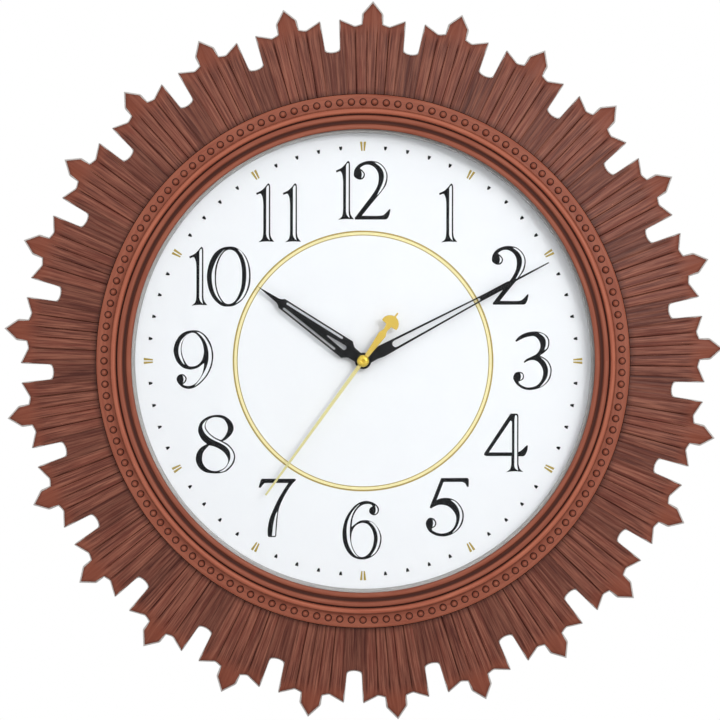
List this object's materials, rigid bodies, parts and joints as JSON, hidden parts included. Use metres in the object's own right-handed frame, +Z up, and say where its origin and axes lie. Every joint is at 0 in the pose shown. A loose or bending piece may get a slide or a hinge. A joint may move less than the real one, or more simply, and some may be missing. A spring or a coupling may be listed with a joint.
{
  "type": "sunburst wall clock",
  "caption": "Round wall clock: a ring of fluted sunburst rays and a moulded bezel round a glazed dial, with hour, minute and second hands on a battery quartz movement.",
  "frame": {"origin": "middle of the wall hook in the hanger's keyhole slot, on the wall's surface", "axes": "+Z up along the wall, +X to the viewer's right, -Y out of the wall towards the viewer"},
  "size_m": [0.3791, 0.038, 0.379],
  "materials": {
    "wood_brown_plastic": "red-brown moulded plastic with a soft sheen",
    "bezel_brown_plastic": "red-brown moulded plastic, slightly glossy",
    "clear_glass": "clear flat glass",
    "dial_white": "matt white lacquer",
    "spacer_grey": "light grey plastic",
    "black_plastic": "black moulded plastic",
    "zinc_steel": "bright zinc plate",
    "brass": "bright brass",
    "copper_wire": "enamelled copper wire",
    "natural_acetal": "natural white plastic",
    "board_laminate": "green circuit laminate",
    "cell_wrap": "printed film over a steel can",
    "magnet_grey": "sintered magnet",
    "hand_black": "satin black lacquer",
    "hand_gold": "pale gold anodised"
  },
  "bodies": {
    "case": {"sunburst_ring": "wood_brown_plastic", "case_drum": "wood_brown_plastic", "bezel_ring": "bezel_brown_plastic", "glass_lens": "clear_glass", "dial_spacer_ring": "spacer_grey", "dial_plate": "dial_white", "rear_cover": "black_plastic", "hanger_plate": "zinc_steel", "hanger_rivet_1": "zinc_steel", "hanger_rivet_2": "zinc_steel", "rear_cover_screw_1": "zinc_steel", "rear_cover_screw_2": "zinc_steel", "rear_cover_screw_3": "zinc_steel", "rear_cover_screw_4": "zinc_steel", "bezel_screw_1": "zinc_steel", "bezel_screw_2": "zinc_steel", "bezel_screw_3": "zinc_steel", "bezel_screw_4": "zinc_steel", "ring_screw_1": "zinc_steel", "ring_screw_2": "zinc_steel", "ring_screw_3": "zinc_steel", "ring_screw_4": "zinc_steel", "ring_screw_5": "zinc_steel", "movement_front_case": "black_plastic", "movement_rear_case": "black_plastic", "centre_bush": "brass", "dial_foot_1": "zinc_steel", "dial_foot_2": "zinc_steel", "foot_nut_1": "zinc_steel", "foot_nut_2": "zinc_steel", "battery_cell": "cell_wrap", "battery_contact_positive": "brass", "battery_contact_negative": "brass", "circuit_board": "board_laminate", "quartz_crystal": "zinc_steel", "coil_core": "zinc_steel", "coil_bobbin": "natural_acetal", "coil_winding": "copper_wire", "stator_plate": "zinc_steel"},
    "second_hand": {"seconds_wheel": "natural_acetal", "second_hand": "hand_gold", "second_hand_cap": "brass"},
    "minute_hand": {"cannon_pinion": "brass", "minute_hand": "hand_black"},
    "hour_hand": {"hour_wheel": "natural_acetal", "hour_hand": "hand_black"},
    "centre_wheel": {"centre_wheel": "natural_acetal"},
    "third_wheel": {"third_wheel": "natural_acetal"},
    "minute_wheel": {"minute_wheel": "natural_acetal"},
    "intermediate_wheel": {"intermediate_wheel": "natural_acetal"},
    "rotor": {"rotor": "magnet_grey"},
    "setting_knob": {"setting_knob": "black_plastic"}
  },
  "joints": [
    {"name": "second_hand_spin", "type": "hinge", "parent": "case", "child": "second_hand", "pos_m": [0, -0.02, -0.1], "axis": [0, 1, 0], "continuous": true},
    {"name": "minute_hand_spin", "type": "hinge", "parent": "case", "child": "minute_hand", "pos_m": [0, -0.02, -0.1], "axis": [0, 1, 0], "continuous": true},
    {"name": "hour_hand_spin", "type": "hinge", "parent": "case", "child": "hour_hand", "pos_m": [0, -0.02, -0.1], "axis": [0, 1, 0], "continuous": true},
    {"name": "centre_wheel_spin", "type": "hinge", "parent": "case", "child": "centre_wheel", "pos_m": [0, -0.012, -0.1], "axis": [0, 1, 0], "continuous": true},
    {"name": "third_wheel_spin", "type": "hinge", "parent": "case", "child": "third_wheel", "pos_m": [-0.0106, -0.011, -0.09388], "axis": [0, 1, 0], "continuous": true},
    {"name": "minute_wheel_spin", "type": "hinge", "parent": "case", "child": "minute_wheel", "pos_m": [0.00831, -0.014, -0.1048], "axis": [0, 1, 0], "continuous": true},
    {"name": "intermediate_wheel_spin", "type": "hinge", "parent": "case", "child": "intermediate_wheel", "pos_m": [0.00317, -0.008, -0.08818], "axis": [0, 1, 0], "continuous": true},
    {"name": "rotor_spin", "type": "hinge", "parent": "case", "child": "rotor", "pos_m": [0.01026, -0.01, -0.08943], "axis": [0, 1, 0], "continuous": true},
    {"name": "setting_knob_spin", "type": "hinge", "parent": "case", "child": "setting_knob", "pos_m": [0.01777, -0.004, -0.10647], "axis": [0, 1, 0], "continuous": true}
  ],
  "couplings": [
    {"joint": "intermediate_wheel_spin", "follows": "second_hand_spin", "ratio": -6},
    {"joint": "rotor_spin", "follows": "second_hand_spin", "ratio": 30},
    {"joint": "third_wheel_spin", "follows": "second_hand_spin", "ratio": -0.13333},
    {"joint": "centre_wheel_spin", "follows": "second_hand_spin", "ratio": 0.016667},
    {"joint": "minute_hand_spin", "follows": "second_hand_spin", "ratio": 0.016667},
    {"joint": "minute_wheel_spin", "follows": "second_hand_spin", "ratio": -0.0055556},
    {"joint": "hour_hand_spin", "follows": "second_hand_spin", "ratio": 0.0013889},
    {"joint": "setting_knob_spin", "follows": "second_hand_spin", "ratio": 0.016667}
  ]
}
